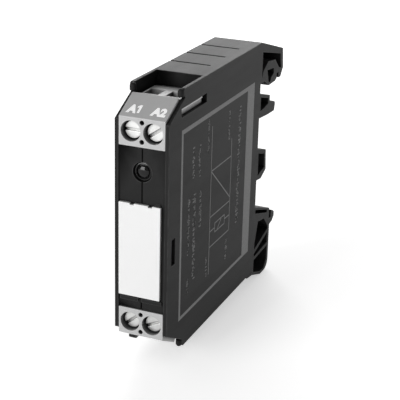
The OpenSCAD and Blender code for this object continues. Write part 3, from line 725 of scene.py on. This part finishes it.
# Terminal number printed on a slanted face; end is 1 for the upper block and -1 for the lower
def terminal_number(name, signs, x, end):
    rise = (SLANT_HIGH - SLANT_LOW).normalized()
    across = Vector((1, 0, 0))
    upper_start, lower_start = 1.25, 3.4
    base = SLANT_LOW + rise * upper_start
    if end < 0:
        base = SLANT_LOW + rise * lower_start
        base.z = -base.z
        rise = Vector((0, -rise.y, rise.z))
    out = across.cross(rise)
    place = Matrix((across, rise, out)).transposed().to_4x4()
    place.translation = base + Vector((x, 0, 0)) + out * (INK / 2 + INK_GAP)
    bm = bmesh.new()
    shifts = (-0.62, 0.72)
    for sign, shift in zip(signs, shifts):
        mesh = character(sign)
        mesh.transform(Matrix.Diagonal((MM, MM, MM, 1.0)) @ place @ Matrix.Translation((shift, 0, 0)))
        bm.from_mesh(mesh)
        bpy.data.meshes.remove(mesh)
    add_bmesh(name, bm, TERMINAL_INK, "housing", weighted=False)


terminal_number("number_a1", "A1", -2.2, 1)
terminal_number("number_a2", "A2", 2.7, 1)
terminal_number("number_13", "13", -2.35, -1)
terminal_number("number_14", "14", 2.35, -1)

for terminal in ("a1", "a2", "b1", "b2"):
    worked_copy(terminal + "_screw", terminal + "_clamp_screw", 0.07)
    worked_copy(terminal + "_cage", terminal + "_clamp_cage", 0.09)
    worked_copy(terminal + "_bar", terminal + "_current_bar", 0.07)


# ---- Front ----

worked_copy("marking_plate", "marking_tag", 0.1)


# Catch of the housing at the plate's upper corner, narrower towards its tip
def plate_catch():
    bm = bmesh.new()
    left, right = PLATE_HIGH.x - 1.5, PLATE_HIGH.x - 0.1
    front, back, tip = -59.05, -58.56, -58.7
    foot_z, tip_z = PLATE_HIGH.z + 0.08, PLATE_HIGH.z + 0.7
    left_slope, right_slope = 0.6, -0.1
    verts = add_box(bm, (left, front, foot_z), (right, back, tip_z))
    for vert in verts:
        if vert.co.z > (foot_z + tip_z) / 2 * MM:
            vert.co.x += (left_slope if vert.co.x < (left + right) / 2 * MM else right_slope) * MM
            vert.co.y = max(vert.co.y, tip * MM)
    round_edges(bm, 0.08 * MM)
    add_bmesh("plate_catch", bm, BLACK, "housing")


# Two low ledges of the housing under the plate, with a gap in the middle
def plate_ledges():
    bm = bmesh.new()
    front, back = -58.95, -58.3
    low, high = PLATE_LOW.z - 1.15, PLATE_LOW.z - 0.3
    left_ledge = (PLATE_LOW.x + 0.15, PLATE_LOW.x + 4.1)
    right_ledge = (PLATE_LOW.x + 4.7, PLATE_HIGH.x + 0.35)
    for left, right in (left_ledge, right_ledge):
        add_box(bm, (left, front, low), (right, back, high))
    round_edges(bm, 0.12 * MM)
    add_bmesh("plate_ledges", bm, BLACK, "housing")


plate_catch()
plate_ledges()


# Domed window with a fine ring round its seat
def window():
    middle = (WINDOW_LOW + WINDOW_HIGH) / 2
    bm = bmesh.new()
    seat_y = -58.32
    rim_radius, rim_depth, bulge = 1.28, 0.34, 0.52
    dome = [(rim_radius * math.sin(angle), rim_depth - bulge * math.cos(angle))
            for angle in (math.radians(step) for step in range(0, 91, 9))]
    ring = [(1.34, 0.36), (1.42, 0.14), (1.52, 0.06), (1.72, 0.06), (1.84, 0.14), (1.9, 0.3)]
    skirt = [(1.9, 1.2), (1.3, 1.2), (1.15, 0.6), (0.8, 0.35), (0, 0.28)]
    add_turned(bm, dome + ring + skirt, (0, seat_y, middle.z), (0, 1, 0), 64)
    close_up(bm)
    add_bmesh("window_lens", bm, finishes["window_dark"], "housing",
              ("lamp_window",), weighted=False)


window()


# Small lamp behind the window, with its two bent legs
def lamp_body():
    middle_z = (LAMP_LOW.z + LAMP_HIGH.z) / 2
    bm = bmesh.new()
    front = LAMP_LOW.y
    radius = 1.5
    dome = [(radius * math.sin(angle), radius - radius * math.cos(angle))
            for angle in (math.radians(step) for step in range(0, 91, 10))]
    profile = dome + [(radius, 3.9), (1.7, 3.95), (1.75, 4.05), (1.75, 4.45), (1.7, 4.5), (0, 4.5)]
    add_turned(bm, profile, (0, front, middle_z), (0, 1, 0), 40)
    close_up(bm)
    add_bmesh("lamp_dome", bm, finishes["lamp_red"], "housing", ("lamp",))
    legs = bmesh.new()
    leg = 0.22
    for z in (middle_z - 0.9, middle_z + 0.9):
        straight = [(0, 4.4), (leg, 4.4), (leg, 5.3), (0, 5.3)]
        add_turned(legs, straight, (0, front, z), (0, 1, 0), 12)
        bent = [(0, -3.7), (leg, -3.7), (leg, 0.2), (0, 0.2)]
        add_turned(legs, bent, (0, front + 5.3, z), (1, 0, 0), 12)
    close_up(legs)
    add_bmesh("lamp_legs", legs, finishes["pin_tin"], "housing")


lamp_body()


# ---- Board ----

worked_copy("circuit_board", "printed_board", 0.04)
worked_copy("rectifier", "bridge_chip", 0.12)
worked_copy("varistor", "varistor_disc", 0.45)
worked_copy("relay_base", "relay_deck", 0.1)
worked_copy("coil_bobbin", "bobbin", 0.12)
worked_copy("coil_core", "core_and_pole", 0.1)
worked_copy("yoke", "bent_yoke", 0.12)
worked_copy("coil_pins", "bobbin_pins", 0.06)
worked_copy("armature", "armature_plate", 0.1)
worked_copy("contact_spring", "contact_leaf", 0.04)
worked_copy("moving_contact", "moving_buttons", 0.08)
worked_copy("armature_spring", "return_leaf", 0.04)
worked_copy("make_contact", "make_strip", 0.06)
worked_copy("back_contact", "back_strip", 0.06)
worked_copy("rail_foot", "sliding_foot", 0.12)


# Sleeved can with a pressed ring near one end and a rolled lip at the other
def capacitor_can():
    low, high = corners_of("capacitor")
    radius = (high.y - low.y) / 2
    length = high.x - low.x
    bm = bmesh.new()
    pressed_ring = [(radius, 0.9), (radius - 0.1, 1.02), (radius - 0.26, 1.15), (radius - 0.26, 1.3),
                    (radius - 0.1, 1.42), (radius, 1.55)]
    rolled_lip = [(radius, length - 0.25), (radius - 0.08, length - 0.08), (radius - 0.25, length),
                  (radius - 0.45, length - 0.02), (radius - 0.5, length - 0.12), (0, length - 0.12)]
    profile = [(0, 0), (radius - 0.2, 0), (radius, 0.2)] + pressed_ring + rolled_lip
    add_turned(bm, profile, (low.x, (low.y + high.y) / 2, (low.z + high.z) / 2), (1, 0, 0), 48)
    close_up(bm)
    add_bmesh("capacitor_can", bm, finishes["capacitor_sleeve"], "housing",
              ("capacitor",))


# Two resistors side by side, with their leads bent down to the board
def resistor_pair():
    low, high = corners_of("resistors")
    radius = 1.05
    lead = 0.28
    bend_z = 4.4
    x = high.x - radius
    drop_x = low.x - x
    shoulder = [(0.86, 1.5), (0.88, 1.85), (radius, 2.1), (radius, 2.8), (0.98, 3.05), (0.7, 3.2), (0, 3.2)]
    profile = [(across, -along) for across, along in reversed(shoulder)] + shoulder
    bodies = bmesh.new()
    leads = bmesh.new()
    for y in (low.y + radius, high.y - radius):
        add_turned(bodies, profile, (x, y, 0), (0, 0, 1), 32)
        for end in (-1, 1):
            rod = [(0, 3.1 * end), (lead, 3.1 * end), (lead, bend_z * end), (0, (bend_z + lead) * end)]
            add_turned(leads, rod, (x, y, 0), (0, 0, 1), 12)
            drop = [(0, drop_x), (lead, drop_x), (lead, 0), (0, lead)]
            add_turned(leads, drop, (x, y, bend_z * end), (1, 0, 0), 12)
    close_up(bodies)
    close_up(leads)
    add_bmesh("resistor_bodies", bodies, finishes["resistor_body"], "housing",
              ("resistors",))
    add_bmesh("resistor_leads", leads, finishes["pin_tin"], "housing")


# Wire laid turn beside turn on the bobbin
def wound_wire():
    radius = (WINDING_HIGH.y - WINDING_LOW.y) / 2
    centre = (WINDING_LOW + WINDING_HIGH) / 2
    length = WINDING_HIGH.z - WINDING_LOW.z
    turns = 40
    pitch = length / turns
    inner = radius - 1.15
    valley = radius - 0.12
    flank = radius - 0.02
    bm = bmesh.new()
    profile = [(inner, -length / 2)]
    for turn in range(turns):
        start = -length / 2 + turn * pitch
        profile += [(valley, start), (flank, start + pitch * 0.25),
                    (radius, start + pitch * 0.5), (flank, start + pitch * 0.75)]
    profile += [(valley, length / 2), (inner, length / 2), (inner, -length / 2)]
    add_turned(bm, profile, tuple(centre), (0, 0, 1), 40)
    close_up(bm)
    add_bmesh("wound_wire", bm, finishes["winding_copper"], "housing", ("coil_winding",))


# Copper tracks under the lacquer, and solder where leads meet the board
def tracks_and_solder():
    tracks = bmesh.new()
    x = BOARD_HIGH.x
    half_track = 0.3
    thickness = 0.035
    runs = [((-53.0, 11.5), (-53.0, -11.5)), ((-53.0, -11.5), (-47.5, -11.5)),
            ((-47.5, -11.5), (-47.5, -8.0)), ((-51.0, 4.4), (-51.0, 9.6)), ((-51.0, 9.6), (-45.0, 9.6)),
            ((-44.4, 4.4), (-44.4, 8.2)), ((-49.5, -2.0), (-49.5, -6.0)),
            ((-46.0, -4.4), (-41.8, -4.4)), ((-41.8, -4.4), (-41.8, -9.0))]
    for start, end in runs:
        low = (x, min(start[0], end[0]) - half_track, min(start[1], end[1]) - half_track)
        high = (x + thickness, max(start[0], end[0]) + half_track, max(start[1], end[1]) + half_track)
        add_box(tracks, low, high)
    add_bmesh("board_tracks", tracks, finishes["board_green"], "housing", weighted=False)
    solder = bmesh.new()
    pins = [(-50.0, 12.4), (-50.0, 10.6), (-44.2, -8.8), (-44.2, -6.4)]
    cone = [(0.0, 0), (0.7, 0), (0.5, 0.12), (0.34, 0.35), (0.26, 0.5), (0, 0.5)]
    for y, z in pins:
        add_turned(solder, cone, (BOARD_LOW.x, y, z), (-1, 0, 0), 20)
    close_up(solder)
    add_bmesh("solder_joints", solder, SOLDER, "housing")


capacitor_can()
resistor_pair()
wound_wire()
tracks_and_solder()


# ---- Foot spring ----

# Coil spring wound from wire, riding on the foot spring's body
def coil_spring():
    wire = 0.225
    radius = (SPRING_HIGH.y - SPRING_LOW.y) / 2 - wire
    centre = (SPRING_LOW + SPRING_HIGH) / 2
    turns = 5.5
    steps = 24
    rise = SPRING_HIGH.z - SPRING_LOW.z - 2 * wire
    bm = bmesh.new()
    start = at(centre.x + radius, centre.y, SPRING_LOW.z + wire)
    ring = bmesh.ops.create_circle(bm, segments=10, radius=wire * MM, cap_ends=False,
                                   matrix=Matrix.Translation(start) @ Matrix.Rotation(math.pi / 2, 4, "X"))
    count = int(turns * steps)
    bmesh.ops.spin(bm, geom=ring["verts"] + bm.edges[:], cent=at(*centre), axis=(0, 0, 1),
                   dvec=(0, 0, rise * MM / count), angle=math.tau * turns, steps=count,
                   use_merge=False, use_duplicate=False)
    bmesh.ops.holes_fill(bm, edges=[edge for edge in bm.edges if edge.is_boundary], sides=0)
    close_up(bm)
    spring = add_bmesh("coil_spring", bm, finishes["spring_steel"], body_of_node["foot_spring"],
                       ("foot_spring",), weighted=False)
    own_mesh(spring)


coil_spring()


# ---- Floor, light and camera ----

# Floor just under the foot; its size and height are in metres
def pale_floor():
    mesh = bpy.data.meshes.new("floor")
    bm = bmesh.new()
    floor_z = -0.0303
    bmesh.ops.create_grid(bm, x_segments=1, y_segments=1, size=1.5,
                          matrix=Matrix.Translation((0, 0, floor_z)))
    bm.to_mesh(mesh)
    bm.free()
    floor = bpy.data.objects.new("floor", mesh)
    bpy.context.scene.collection.objects.link(floor)
    material, tree, shader = start_material("Pale floor")
    place = own_place(tree)
    cloud = noise_node(tree, place, 8.0, 2.0)
    base = mix_colour(tree, cloud.outputs["Fac"], grey(0.9), grey(0.94))
    tree.links.new(base, shader.inputs["Base Color"])
    shader.inputs["Roughness"].default_value = 0.9
    shader.inputs["Specular IOR Level"].default_value = 0.0
    seen = tree.nodes.new("ShaderNodeLightPath").outputs["Is Camera Ray"]
    tree.links.new(mix_colour(tree, seen, grey(0.45), grey(1.0)), shader.inputs["Emission Color"])
    shader.inputs["Emission Strength"].default_value = 0.5
    mesh.materials.append(material)


# Soft box that shines from place towards the middle of the object, in metres and watts
def soft_box(name, place, size, power):
    lamp = bpy.data.lights.new(name, "AREA")
    lamp.shape = "RECTANGLE"
    lamp.size, lamp.size_y = size
    lamp.energy = power
    holder = bpy.data.objects.new(name, lamp)
    bpy.context.scene.collection.objects.link(holder)
    holder.location = place
    middle = Vector((0.0, -0.03, 0.0))
    aim = middle - Vector(place)
    holder.rotation_euler = aim.to_track_quat("-Z", "Y").to_euler()


# Camera in front and to the right of the object, leaning a little
def camera():
    azimuth, elevation, roll = (math.radians(angle) for angle in (22.35, 20.92, 1.51))
    target = at(5.09, -42.5, 1.56)
    distance = 0.229
    back = Vector((math.sin(azimuth) * math.cos(elevation), -math.cos(azimuth) * math.cos(elevation),
                   math.sin(elevation)))
    right = (-back).cross(Vector((0, 0, 1))).normalized()
    up = right.cross(-back)
    leaned_right = right * math.cos(roll) + up * math.sin(roll)
    leaned_up = up * math.cos(roll) - right * math.sin(roll)
    eye = bpy.data.objects.new("camera", bpy.data.cameras.new("camera"))
    bpy.context.scene.collection.objects.link(eye)
    eye.data.sensor_width = 36.0
    eye.data.lens = 103.38
    eye.data.clip_start = 0.01
    turn = Matrix((leaned_right, leaned_up, back)).transposed().to_4x4()
    eye.matrix_world = Matrix.Translation(target + back * distance) @ turn
    bpy.context.scene.camera = eye


pale_floor()
soft_box("front_box", (-0.35, -0.75, 0.18), (0.5, 0.5), 4.6)
soft_box("rear_top_box", (-0.25, 0.62, 0.33), (0.6, 0.3), 3.6)
soft_box("side_box", (0.55, 0.45, -0.005), (0.5, 0.05), 0.85)
soft_box("sparkle_box", (-0.1, -0.6, 0.25), (0.03, 0.03), 0.12)
camera()

world = bpy.data.worlds.new("studio")
world.use_nodes = True
world.node_tree.nodes["Background"].inputs["Color"].default_value = (1.0, 1.0, 1.0, 1.0)
world.node_tree.nodes["Background"].inputs["Strength"].default_value = 0.26
bpy.context.scene.world = world
bpy.context.scene.view_settings.view_transform = "Standard"
